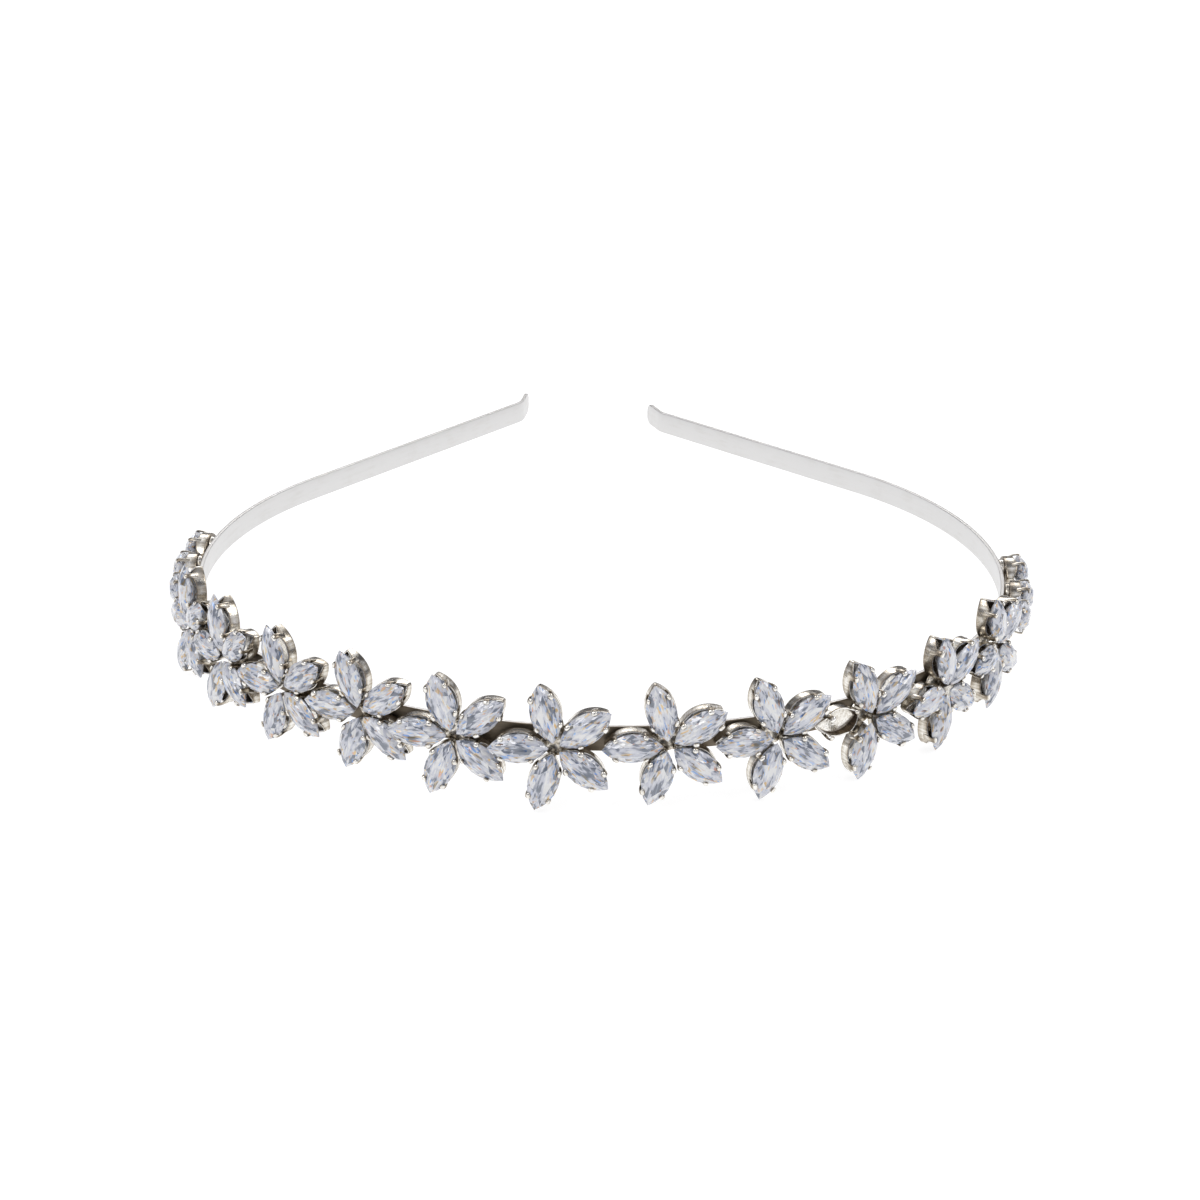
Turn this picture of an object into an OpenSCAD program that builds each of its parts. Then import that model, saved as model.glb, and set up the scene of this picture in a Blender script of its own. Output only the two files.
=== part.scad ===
// Crystal headband: a narrow springy metal band, open at the back. Eleven flowers of marquise
// stones run along the outside of its front and sides, and three single stones follow at each end.
// X runs from the left arm to the right arm, Y from the flowers at the front to the open ends
// at the back, and Z up. The band lies level, as it does on a table, on the lowest stone tips.
// The origin is on that table, under the middle of the whole piece. Sizes are millimetres.

/* [Band] */
// Radius of the round stretch, to the middle of the strip
band_radius = 59; // [57:0.5:62]
// Degrees that the round stretch runs from the middle of the front to the left arm
left_turn = 129.8; // [124:0.1:136]
// Degrees that it runs to the right arm
right_turn = 133.9; // [124:0.1:136]
// Length of the straight left arm
left_arm = 51.6; // [40:0.1:56]
// Length of the straight right arm
right_arm = 42.7; // [40:0.1:56]
// Degrees that the left arm's end turns away from the head
left_flare = 30; // [15:1:40]
// Degrees that the right arm's end turns away from the head
right_flare = 24; // [15:1:40]
// Radius of the bend at each end
flare_radius = 4; // [3:0.5:6]
// Straight length of each end past its bend
tip_length = 4.5; // [3:0.5:6]
// Radius of the two corners of each end
tip_corner = 1.2; // [0.6:0.1:1.4]
// Height of the strip
band_width = 3.5; // [3:0.1:5]
// Thickness of the strip
band_thickness = 0.6; // [0.5:0.05:0.8]
// Chamfer along the strip's four edges
edge_chamfer = 0.15; // [0.1:0.05:0.2]

/* [Stones] */
// Length of a marquise stone, tip to tip
stone_length = 8; // [7.6:0.1:8.2]
// Width of a marquise stone
stone_width = 4; // [3.6:0.1:4]
// Height from the girdle up to the table
crown_height = 0.95; // [0.85:0.05:1.1]
// Thickness of the girdle
girdle_height = 0.18; // [0.1:0.02:0.2]
// Depth from the girdle down to the point
pavilion_depth = 1.7; // [1.4:0.05:1.75]
// Size of the table, as a share of the outline
table_share = 0.52; // [0.46:0.02:0.6]

/* [Settings] */
// Distance from a flower's middle to the inner tip of each stone
flower_hole = 0.75; // [0.74:0.01:0.9]
// Length of a cup, which the stone's tips overhang
cup_length = 7.2; // [7:0.1:7.4]
// Width of a cup
cup_width = 4.1; // [3.9:0.1:4.2]
// Thickness of a cup's side wall
cup_wall = 0.28; // [0.25:0.01:0.35]
// Thickness of a cup's flat floor
cup_floor = 0.35; // [0.3:0.05:0.4]
// Height of a cup's side wall from its underside
cup_height = 1.8; // [1.5:0.1:1.9]
// Height of the girdle's lower edge above a cup's underside
seat_height = 2.35; // [2.3:0.05:2.4]
// Width of a claw
claw_width = 0.6; // [0.5:0.05:0.65]
// How far a claw stands out past the edge of its stone
claw_reach = 0.28; // [0.24:0.01:0.3]
// Distance of the two outer claws from the middle of the stone, along its length
outer_claws = 2.3; // [2.1:0.1:2.4]
// Distance of the two inner claws from the middle of the stone
inner_claws = 1.75; // [1.5:0.05:1.8]
// Radius of the solder foot between a setting and the band
foot_radius = 1.75; // [1.6:0.05:1.8]
// Thickness of the solder foot behind a flower
foot_height = 0.3; // [0.2:0.05:0.5]
// Thickness of the solder foot behind a single stone
single_foot_height = 0.6; // [0.3:0.1:0.8]

/* [Hidden] */
$fn = 96;

// The flowers were soldered on by eye, so each has its own place and small tilts. PLACE is the
// distance along the band from the middle of its front, LIFT the height above the middle of the
// strip, NOD a tilt forward, YAW a turn about the upright, and PETALS the directions of the five
// petals, counted from the band's own direction: up, upper right, lower right, low, left.
PLACE = 0;
LIFT = 1;
NOD = 2;
YAW = 3;
PETALS = 4;
flowers = [
    [-73.6, -0.3, -3, 1, [108, 36, -36, -110, 180]],
    [-60.5, 0.1, -3, 0, [108, 37, -33, -107, 180]],
    [-46.7, 0.5, -1, 2, [108, 35, -34, -108, 180]],
    [-33.4, 0.8, 1, 1, [109, 36, -36, -106, 180]],
    [-20.6, 0.0, -2, 5, [108, 38, -38, -110, 179]],
    [-7.6, -0.5, -6, 3, [105, 34, -37, -107, 181]],
    [6.7, 0.1, 1, -3, [103, 32, -37, -108, 182]],
    [20.8, -0.4, -2, -3, [108, 35, -35, -108, 181]],
    [34.6, -0.4, 0, -2, [107, 37, -33, -104, 178]],
    [48.3, -0.3, 3, 4, [106, 37, -32, -101, 184]],
    [63.0, 0.6, 2, -1, [110, 37, -37, -107, 183]],
];

// The single stones lie along the band, each in its own cup. PLACE is that of the stone's middle.
singles = [
    [-103.7, 0.0, 0, 0],
    [-95.3, 0.1, 1, 0],
    [-87.0, 0.0, -1, 1],
    [75.8, 0.1, 0, 0],
    [83.8, 0.0, 1, 0],
    [93.3, 0.1, -1, 0],
];

// One stone has been lost: the left petal of the ninth flower is an empty cup.
empty_flower = 8;
empty_petal = 4;

foot_gap = 0.06; // clearance between a solder foot and the band
tip_notch = 0.9; // radius of the dip in the rim at each tip of a cup
rim_dip_radius = 5; // radius of the shallow dip along each side of the rim
rim_dip_depth = 0.25;
overlap = 0.1; // how far joined shapes run into each other
seam = 0.02; // how much smaller a straight stretch of the strip is than a bent one

function flower_name(i, part) = str("flower_", i < 9 ? "0" : "", i + 1, "_", part);
function single_name(i, part) = str("single_0", i + 1, "_", part);

// A marquise outline is where two equal circles overlap.
function leaf_radius(length, width) = (length * length + width * width) / (4 * width);

// The outline of a stone, in sixteen steps from its inner tip up one side and back down the other.
SIDE_STEPS = 8;
STEPS = 2 * SIDE_STEPS;
stone_radius = leaf_radius(stone_length, stone_width);
stone_half_angle = asin(stone_length / 2 / stone_radius);
function outline_point(k) =
    let (
        side = k < SIDE_STEPS ? 1 : -1,
        angle = side * stone_half_angle * ((k % SIDE_STEPS) / SIDE_STEPS * 2 - 1)
    ) [stone_radius * sin(angle), side * (stone_radius * cos(angle) - stone_radius + stone_width / 2)];
function ring(steps, share, height) =
    [for (k = steps) [share * outline_point(k).x, share * outline_point(k).y, height]];

// The whole piece stands on its lowest stone tip.
stone_reach = flower_hole + stone_length;
function tip_level(flower, direction) =
    let (
        girdle = foot_height + seat_height + (flower[NOD] > 0 ? girdle_height : 0),
        forward = girdle * cos(flower[YAW]) - stone_reach * cos(direction) * sin(flower[YAW])
    ) flower[LIFT] + stone_reach * sin(direction) * cos(flower[NOD]) - forward * sin(flower[NOD]);
rest_height = -min([for (flower = flowers, direction = flower[PETALS]) tip_level(flower, direction)]);
// Middle of the whole piece's box, measured from the centre of the round stretch
box_middle = [0, 10.02];

// Puts the children round the centre of the round stretch, at the height of the strip's middle.
module at_centre() {
    translate([-box_middle.x, -box_middle.y, rest_height]) children();
}

// Puts the children on the strip, turn degrees from the middle of the front. X is the direction
// of the strip and Y points towards the head.
module at_strip(turn) {
    rotate(turn) translate([0, -band_radius]) children();
}

// Cross-section of the strip, with chamfered edges. X is its thickness and Y its height.
module strip_section(inset = 0) {
    x = band_thickness / 2 - inset;
    y = band_width / 2 - inset;
    c = edge_chamfer;
    polygon([
        [-x, c - y], [c - x, -y], [x - c, -y], [x, c - y],
        [x, y - c], [x - c, y], [c - x, y], [-x, y - c]
    ]);
}

module strip_arc(radius, from, turn) {
    rotate(from) rotate_extrude(angle = turn, $fn = 180) translate([radius, 0]) strip_section();
}

// A straight stretch is a hair smaller, and runs into the bent one at each end.
module strip_straight(length) {
    translate([-overlap, 0]) rotate([90, 0, 90]) linear_extrude(length + 2 * overlap) strip_section(seam);
}

// The end of an arm: a bend away from the head, then a short straight with round corners
module arm_end(flare) {
    translate([0, -flare_radius]) {
        strip_arc(flare_radius, 90 - flare, flare);
        rotate(-flare)
            translate([0, flare_radius])
                intersection() {
                    strip_straight(tip_length);
                    rotate([90, 0, 0]) linear_extrude(2 * band_thickness, center = true) tip_outline();
                }
    }
}

module tip_outline() {
    y = band_width / 2 - tip_corner;
    x = tip_length - tip_corner;
    translate([-1, -band_width / 2]) square([1 + x, band_width]);
    translate([0, -y]) square([tip_length, 2 * y]);
    for (side = [-1, 1])
        translate([x, side * y]) circle(tip_corner);
}

module arm(turn, length, flare) {
    at_strip(turn) {
        strip_straight(length);
        translate([length, 0]) arm_end(flare);
    }
}

module band() {
    color("gainsboro") at_centre() {
        strip_arc(band_radius, -90 - left_turn, left_turn + right_turn);
        arm(right_turn, right_arm, right_flare);
        mirror([1, 0, 0]) arm(left_turn, left_arm, left_flare);
    }
}

// A flat-bottomed leaf, with its wall moved in from its outline by inset
module leaf(length, width, height, inset = 0) {
    r = leaf_radius(length, width);
    linear_extrude(height)
        intersection_for(side = [-1, 1])
            translate([0, side * (r - width / 2)]) circle(r - inset);
}

// A bent claw: it rises from the cup's wall, passes outside the girdle and leans over the crown.
// Y points away from the stone and starts at its edge.
module claw() {
    gap = 0.05;
    root = -cup_wall - 0.02;
    rotate([90, 0, 90])
        linear_extrude(claw_width, center = true)
            polygon([
                [root, cup_floor], [0, cup_floor], [claw_reach, cup_height - 0.3],
                [claw_reach, seat_height + 0.35], [0.12, seat_height + 0.66],
                [-0.16, seat_height + 0.84], [-0.3, seat_height + 0.7], [gap, seat_height + 0.27],
                [gap, seat_height - 0.1], [-0.15, cup_height], [root, cup_height]
            ]);
}

// Puts the children on the edge of the stone, with Y pointing away from it.
module at_edge(x, side) {
    slope = asin(x / stone_radius);
    y = stone_radius * cos(slope) - stone_radius + stone_width / 2;
    translate([x, side * y]) rotate(side > 0 ? -slope : 180 + slope) children();
}

// One cup: a leaf-shaped tray whose side walls carry four claws
module cup() {
    difference() {
        leaf(cup_length, cup_width, cup_height);
        translate([0, 0, cup_floor]) leaf(cup_length, cup_width, cup_height, cup_wall);
        for (end = [-1, 1])
            translate([end * cup_length / 2, 0, cup_height])
                rotate([90, 0, 0]) cylinder(r = tip_notch, h = cup_width, center = true);
        translate([0, 0, cup_height + rim_dip_radius - rim_dip_depth])
            rotate([90, 0, 0]) cylinder(r = rim_dip_radius, h = 2 * cup_width, center = true);
    }
    for (x = [-inner_claws, outer_claws], side = [-1, 1])
        at_edge(x, side) claw();
}

module stone() {
    even = [0:2:STEPS - 1];
    odd = [1:2:STEPS - 1];
    all = [0:STEPS - 1];
    top = seat_height + girdle_height;
    half = STEPS / 2;
    star_share = (1 + table_share) / 2 + 0.02;
    lower_share = 0.26;
    points = concat(
        ring(even, table_share, top + crown_height),
        ring(odd, star_share, top + crown_height / 2),
        ring(all, 1, top),
        ring(all, 1, seat_height),
        ring(odd, lower_share, seat_height - 0.79 * pavilion_depth),
        [[0, 0, seat_height - pavilion_depth]]
    );
    table = 0;
    star = half;
    upper = 2 * half;
    lower = upper + STEPS;
    under = lower + STEPS;
    point = under + half;
    faces = concat(
        [[for (k = [half - 1:-1:0]) table + k]],
        [for (k = [0:half - 1]) each crown_facets(k, (k + 1) % half, half, table, star, upper)],
        [for (k = all) let (n = (k + 1) % STEPS) each [
            [upper + k, upper + n, lower + n], [upper + k, lower + n, lower + k]
        ]],
        [for (k = [0:half - 1]) each pavilion_facets(k, (k + 1) % half, half, lower, under, point)]
    );
    polyhedron(points, [for (f = faces) [for (i = [len(f) - 1:-1:0]) f[i]]]);
}

// One star facet, two halves of a main facet and two girdle facets, at step k of the crown
function crown_facets(k, next, half, table, star, upper) = [
    [table + k, table + next, star + k],
    [table + k, star + k, upper + 2 * k],
    [table + next, upper + 2 * next, star + k],
    [star + k, upper + 2 * k + 1, upper + 2 * k],
    [star + k, upper + 2 * next, upper + 2 * k + 1]
];
// The same below the girdle, where the main facets run down to the point
function pavilion_facets(k, next, half, lower, under, point) = [
    [lower + 2 * k, lower + 2 * k + 1, under + k],
    [lower + 2 * k + 1, lower + 2 * next, under + k],
    [lower + 2 * k, under + k, point],
    [under + k, lower + 2 * next, point]
];

// Puts the children on the outside of the band, with Z pointing away from the head, X along the
// band and Y up, where a flower or a single stone is soldered.
module at_foot(spot) {
    clearance = foot_gap + foot_radius * (sin(abs(spot[NOD])) + sin(abs(spot[YAW])));
    at_centre()
        at_strip(spot[PLACE] / band_radius * 180 / PI)
            translate([0, -band_thickness / 2 - clearance, spot[LIFT]])
                rotate([90, 0, 0]) rotate([spot[NOD], spot[YAW], 0]) children();
}

module foot(height) {
    cylinder(r = foot_radius, h = height + overlap);
}

module at_petal(direction) {
    rotate(direction) translate([flower_hole + stone_length / 2, 0, foot_height]) children();
}

module flower_setting(i) {
    color("silver") at_foot(flowers[i]) {
        foot(foot_height);
        for (direction = flowers[i][PETALS])
            at_petal(direction) cup();
    }
}

module flower_stones(i) {
    color("lavender") at_foot(flowers[i])
        for (petal = [0:len(flowers[i][PETALS]) - 1])
            if (i != empty_flower || petal != empty_petal)
                at_petal(flowers[i][PETALS][petal]) stone();
}

module single_setting(i) {
    color("silver") at_foot(singles[i]) {
        foot(single_foot_height);
        translate([0, 0, single_foot_height]) cup();
    }
}

module single_stone(i) {
    color("lavender") at_foot(singles[i]) translate([0, 0, single_foot_height]) stone();
}

band();
for (i = [0:len(flowers) - 1]) {
    flower_setting(i);
    flower_stones(i);
}
for (i = [0:len(singles) - 1]) {
    single_setting(i);
    single_stone(i);
}
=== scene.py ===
# %% [markdown]
# # A headband of crystal flowers
#
# The real piece is bridal hair jewellery: a springy metal band, open at the back. Eleven flowers
# are soldered round its front and sides, and three single stones follow along the band at each end.
# Each flower has five leaf-shaped stones, each stone sits in a small metal cup, and four claws hold
# it there. This lesson dresses the plain engineering model with finer metalwork, cut stones and
# materials.
#
# The engineering model is loaded first and never moved. Every new piece takes its place from it.

# %% Load the plain model
import math

import bpy
import numpy as np
from mathutils import Matrix, Vector


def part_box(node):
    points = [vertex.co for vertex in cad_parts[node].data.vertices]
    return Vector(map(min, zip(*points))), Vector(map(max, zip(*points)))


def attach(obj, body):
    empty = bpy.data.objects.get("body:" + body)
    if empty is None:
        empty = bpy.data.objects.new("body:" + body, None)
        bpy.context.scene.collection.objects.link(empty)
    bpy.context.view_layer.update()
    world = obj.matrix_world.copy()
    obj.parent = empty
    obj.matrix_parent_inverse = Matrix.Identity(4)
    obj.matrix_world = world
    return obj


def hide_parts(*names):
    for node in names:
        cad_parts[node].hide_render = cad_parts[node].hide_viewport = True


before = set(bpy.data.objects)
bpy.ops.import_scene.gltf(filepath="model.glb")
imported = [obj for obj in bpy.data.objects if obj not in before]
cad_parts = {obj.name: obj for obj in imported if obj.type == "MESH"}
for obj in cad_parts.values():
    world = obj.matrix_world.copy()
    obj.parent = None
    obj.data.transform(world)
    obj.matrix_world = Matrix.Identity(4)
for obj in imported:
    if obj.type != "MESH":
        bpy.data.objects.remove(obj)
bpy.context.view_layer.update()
MM = 0.001


def in_mm(lengths, digits=1):
    return [round(length / MM, digits) for length in lengths]


# %% [markdown]
# ## Where the photograph was taken from
#
# A camera is easier to think about as a photographer does: how far it stands, how high it looks from,
# and how far it has walked round. It could be dragged into place by hand, but these four numbers can be
# changed one at a time. The aim lies near the middle of the piece, a little to the front. The lens is
# long, because jewellery is photographed from a distance to keep the flowers' shapes true. The picture
# keeps its colours plain, without a film's curve.

# %% Camera
band_low, band_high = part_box("band")
BAND_MIDDLE_HEIGHT = (band_low.z + band_high.z) / 2
AIM = Vector((-0.56 * MM, -20.75 * MM, BAND_MIDDLE_HEIGHT))
DISTANCE = 413.4 * MM
RISE = math.radians(21.69)
WALK_ROUND = math.radians(-1.87)
ROLL = math.radians(0.6)
FOCAL_LENGTH = 85.5
SENSOR_WIDTH = 36
NEAREST_SEEN = 10 * MM

flat_share = math.cos(RISE)
back = Vector((math.sin(WALK_ROUND) * flat_share, -math.cos(WALK_ROUND) * flat_share, math.sin(RISE)))
lens = bpy.data.cameras.new("photo_lens")
lens.lens = FOCAL_LENGTH
lens.sensor_width = SENSOR_WIDTH
lens.clip_start = NEAREST_SEEN
camera = bpy.data.objects.new("camera", lens)
bpy.context.scene.collection.objects.link(camera)
level_view = back.to_track_quat("Z", "Y").to_matrix()
camera.rotation_euler = (level_view @ Matrix.Rotation(ROLL, 3, "Z")).to_euler()
camera.location = AIM + DISTANCE * back
bpy.context.scene.camera = camera
bpy.context.scene.view_settings.view_transform = "Standard"
print("camera at", in_mm(camera.location, 0), "mm")

# %% [markdown]
# ## Materials from code
#
# A material is a small network of nodes. Each socket of a node holds a value of its own or is
# linked to another node. Writing every link by hand makes long scripts, so a few helpers fill the
# sockets and add the nodes that are needed most often: a noise, and a ramp that turns a number into
# a colour.

# %% Node helpers
def set_sockets(tree, node, sources):
    """Gives each socket its value, or links it where the source is another node's socket."""
    for socket, source in sources.items():
        if isinstance(source, bpy.types.NodeSocket):
            tree.links.new(source, node.inputs[socket])
        else:
            node.inputs[socket].default_value = source


def add_node(tree, kind, sources, **settings):
    node = tree.nodes.new(kind)
    for name, value in settings.items():
        setattr(node, name, value)
    set_sockets(tree, node, sources)
    return node


def noise(tree, place, scale, detail):
    return add_node(tree, "ShaderNodeTexNoise", {"Vector": place, "Scale": scale, "Detail": detail})


def colour_ramp(tree, factor, levels):
    """levels lists the ramp's marks, each with its place between 0 and 1, and its colour."""
    node = add_node(tree, "ShaderNodeValToRGB", {"Fac": factor})
    marks = node.color_ramp.elements
    while len(marks) < len(levels):
        marks.new(0.5)  # any place will do, because the next loop sets it
    for mark, (level, colour) in zip(marks, levels):
        mark.position = level
        mark.color = (*colour, 1)
    return node.outputs["Color"]


def new_material(name):
    material = bpy.data.materials.new(name)
    material.use_nodes = True
    tree = material.node_tree
    return material, tree, tree.nodes["Principled BSDF"]


print("node helpers are ready")

# %% [markdown]
# ## Table
#
# The table is a wide white sheet. Lamps alone would leave it grey, and brighter in some places than in
# others, so it also glows a little, as a light table does. It then comes out plain white, and its
# shadows stay faint. Metal and cut stones throw its brightness back, so it is part of the lighting as
# well as the ground.

# %% Table
TABLE_SIZE = 20.0
TABLE_GREY = 0.32
TABLE_GLOW = 0.82
TABLE_ROUGHNESS = 0.7
TABLE_SHINE = 0.1

bpy.ops.mesh.primitive_plane_add(size=TABLE_SIZE, location=(0, 0, 0))
table = bpy.context.object
table.name = "table"
table_material, table_tree, table_shader = new_material("table_white")
set_sockets(table_tree, table_shader, {
    "Base Color": (TABLE_GREY, TABLE_GREY, TABLE_GREY, 1),
    "Emission Color": (1, 1, 1, 1),
    "Emission Strength": TABLE_GLOW,
    "Roughness": TABLE_ROUGHNESS,
    "Specular IOR Level": TABLE_SHINE,
})
table.data.materials.append(table_material)
print("table", TABLE_SIZE, "m wide")

# %% [markdown]
# ## Light tent
#
# Metal and cut stones have almost no look of their own: they show what is around them. A jeweller's
# light tent is white cloth with gaps between the sheets, and the gaps draw the dark lines in a claw and
# the dark facets in a stone. The sheets could be built as meshes round the table. Here the tent is only
# the colour of the world, which is simpler and surrounds the piece evenly: a noise, read by direction,
# is cut into a few levels from gap to lit cloth.

# %% Light tent
TENT_PATCHES = 2.3  # the noise's scale: a higher number gives smaller sheets and gaps
TENT_LEVELS = [
    # share of the noise, colour of the cloth there
    (0.00, (0.06, 0.06, 0.07)),
    (0.45, (0.06, 0.06, 0.07)),
    (0.47, (0.28, 0.28, 0.29)),
    (0.51, (0.34, 0.34, 0.36)),
    (0.53, (0.62, 0.62, 0.65)),
    (0.60, (0.70, 0.70, 0.74)),
    (0.63, (1.0, 1.0, 1.0)),
    (1.00, (1.0, 1.0, 1.0)),
]

world = bpy.data.worlds.new("light_tent")
bpy.context.scene.world = world
world.use_nodes = True
tent = world.node_tree
direction = add_node(tent, "ShaderNodeTexCoord", {}).outputs["Generated"]
cloth = noise(tent, direction, TENT_PATCHES, detail=1).outputs["Fac"]
set_sockets(tent, tent.nodes["Background"], {"Color": colour_ramp(tent, cloth, TENT_LEVELS)})
print("the tent's ramp has", len(TENT_LEVELS), "marks")

# %% [markdown]
# ## Lamps
#
# Three soft lamps stand in for the photographer's lights: one in front, one at the side and one behind.
# They leave the white sparks on claws and facets. Each is a wide rectangle, because a lamp that is a
# point makes hard shadows. Each one looks at the middle of the table.

# %% Lamps
LAMPS = {
    # place and size in metres, power in watts
    "key": ((-0.6, -0.5, 0.9), (0.6, 0.6), 3.5),
    "fill": ((0.7, -0.1, 0.8), (0.7, 0.45), 3.0),
    "back": ((0.1, 0.9, 0.7), (0.8, 0.35), 2.5),
}

for name, (place, size, power) in LAMPS.items():
    light = bpy.data.lights.new(name, "AREA")
    light.shape = "RECTANGLE"
    light.size, light.size_y = size
    light.energy = power
    holder = bpy.data.objects.new(name, light)
    bpy.context.scene.collection.objects.link(holder)
    holder.location = place
    holder.rotation_euler = Vector(place).to_track_quat("Z", "Y").to_euler()
print(len(LAMPS), "lamps")

# %% [markdown]
# ## The stones of the plain model
#
# In the plain model a flower's stones are simple cut solids that share one node. Blender can split such
# a mesh into objects, but here only the places are needed, so the points are sorted instead: corners
# that meet in a face belong to the same stone. The file keeps a corner once for each face that meets
# there, so corners in the same place are counted as one first.

# %% Loose solids
WELD = 0.001 * MM


def loose_solids(node):
    """The corner points of each loose solid of a node."""
    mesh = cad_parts[node].data
    places = np.array([v.co for v in mesh.vertices])
    steps = np.round(places / WELD).astype(int)
    _, first, same = np.unique(steps, axis=0, return_index=True, return_inverse=True)
    same = same.ravel()
    group = np.arange(len(first))
    for polygon in mesh.polygons:
        corners = same[list(polygon.vertices)]
        lowest = min(group[c] for c in corners)
        for old in {group[c] for c in corners}:
            group[group == old] = lowest
    return [places[first[group == g]] for g in np.unique(group)]


print("flower 1 has", len(loose_solids("flower_01_stones")), "stones")

# %% [markdown]
# ## Reading a stone's place and size
#
# Each stone has a long axis, a flat table that faces away from the head, and a point behind. Those
# three facts give a small frame: X runs along the stone, Z faces away from the head, and the origin is
# the middle of the girdle, which is the stone's widest edge. A singular value decomposition finds the
# longest, the middle and the shortest direction of any cloud of points, however it is turned. New cups,
# claws and stones are made once and put into these frames, so nothing has to be placed by eye.

# %% Frame of a stone
TIP_SHARE = 0.99


def stone_frame(points):
    """Middle of the girdle, with X along the stone and Z towards the table, and the stone's sizes."""
    middle = points.mean(axis=0)
    along, across, up = np.linalg.svd(points - middle)[2]
    heights = (points - middle) @ up
    if -heights.min() < heights.max():
        up, heights = -up, -heights
    lengths = (points - middle) @ along
    tips = points[np.abs(lengths) > TIP_SHARE * lengths.max()]
    girdle = tips.mean(axis=0)
    girdle_height = np.ptp((tips - girdle) @ up)
    sizes = {
        "length": np.ptp(lengths),
        "width": np.ptp((points - middle) @ across),
        "girdle": girdle_height,
        "crown": ((points - girdle) @ up).max() - girdle_height / 2,
        "pavilion": -((points - girdle) @ up).min() - girdle_height / 2,
    }
    return Vector(girdle), Vector(along), Vector(up), sizes


def as_matrix(origin, along, up):
    across = up.cross(along).normalized()
    return Matrix.Translation(origin) @ Matrix((along, across, up)).transposed().to_4x4()


*_, first_sizes = stone_frame(loose_solids("single_01_stone")[0])
print("the first single stone, in mm:", dict(zip(first_sizes, in_mm(first_sizes.values(), 2))))

# %% [markdown]
# ## Flowers and single stones
#
# The long axes of a flower's stones all pass through its middle, so the middle is the point that they
# pass nearest to. Each petal's X is turned so that it runs outward from there, and its Z is the
# flower's own. All stones are cut alike, so the sizes of one are kept for the finer stone.

# %% Petal frames
FLOWERS = 11
SINGLES = 6


def flower_middle(stones):
    """The point that the stones' long axes pass nearest to."""
    spread, goal = np.zeros((3, 3)), np.zeros(3)
    for place, along, *_ in stones:
        flat = np.eye(3) - np.outer(along, along)
        spread += flat
        goal += flat @ np.array(place)
    return Vector(np.linalg.solve(spread, goal))


flowers = []
for number in range(1, FLOWERS + 1):
    stones = [stone_frame(points) for points in loose_solids(f"flower_{number:02d}_stones")]
    up = sum((stone[2] for stone in stones), Vector()).normalized()
    middle = flower_middle(stones)
    petals = []
    for place, along, *_ in stones:
        outward = -along if along.dot(place - middle) < 0 else along
        petals.append(as_matrix(place, outward, up))
    flowers.append({"middle": middle, "up": up, "petals": petals})
STONE = {name: float(size) for name, size in stones[-1][3].items()}
singles = []
for number in range(1, SINGLES + 1):
    place, along, up, _ = stone_frame(loose_solids(f"single_{number:02d}_stone")[0])
    singles.append(as_matrix(place, along, up))
print(sum(len(flower["petals"]) for flower in flowers), "petals and", SINGLES, "single stones")

# %% [markdown]
# ## The cup whose stone is lost
#
# One flower has only four stones. Its fifth cup is still there in the plain metalwork, so the place is
# read from the claws that stand where no stone is: their mean direction from the flower's middle is the
# petal's. Turning a neighbour by a fifth of a circle would be simpler, but real petals are never spaced
# quite evenly.

# %% Empty cup
PETALS = 5
HALF_PETAL_TURN = math.radians(360 / PETALS / 2)
SEAT = 2.35 * MM  # from the cup's underside up to the girdle
CLAW_LEVEL = SEAT + 0.2 * MM
UNDERSIDE_DEPTH = SEAT + STONE["girdle"] / 2


def empty_petal(flower, node):
    """Frame of a cup without a stone, from the middle of its claws."""
    base = flower["middle"] - UNDERSIDE_DEPTH * flower["up"]
    taken = [(petal.translation - flower["middle"]).normalized() for petal in flower["petals"]]
    reach = (flower["petals"][0].translation - flower["middle"]).length
    total = Vector()
    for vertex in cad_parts[node].data.vertices:
        step = vertex.co - base
        height = step.dot(flower["up"])
        flat = (step - height * flower["up"]).normalized()
        if height > CLAW_LEVEL and all(flat.dot(way) < math.cos(HALF_PETAL_TURN) for way in taken):
            total += flat
    along = total.normalized()
    return as_matrix(flower["middle"] + reach * along, along, flower["up"])


for number, flower in enumerate(flowers, 1):
    flower["cups"] = list(flower["petals"])
    if len(flower["petals"]) < PETALS:
        flower["cups"].append(empty_petal(flower, f"flower_{number:02d}_setting"))
        print("flower", number, "has an empty cup")

# %% [markdown]
# ## Pieces from code
#
# Everything here is a list of corner points and faces. The same parts could be modelled by hand, but a
# list can be repeated sixty times in exactly the right places. Each corner also keeps a tarnish with
# painted shade, for the metal's tone, and each corner of a face keeps its own place in the part, so
# that patterns can follow the part however it is turned. A small helper turns the lists into a Blender
# object, gives it a material, hides the plain part that it stands for, and tells the frame that it
# rides on the one rigid body.

# %% Piece helper
class Shape:
    """Points with tarnish and painted shade, and faces whose corners know their own place in the part."""

    def __init__(self):
        self.points = []
        self.tarnish_and_shade = []
        self.faces = []
        self.own_places = []

    def add(self, points, tarnish_and_shade, faces, place=Matrix.Identity(4), shift=None):
        """shift, if given, says for each face how far its pattern is moved."""
        start = len(self.points)
        points = [Vector(p) for p in points]
        self.points += [place @ p for p in points]
        self.tarnish_and_shade += list(tarnish_and_shade)
        self.faces += [[start + i for i in face] for face in faces]
        for face in faces:
            move = shift() if shift else Vector((0, 0, 0))
            self.own_places += [points[i] + move for i in face]

    def triangles(self):
        return sum(len(face) - 2 for face in self.faces)


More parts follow.
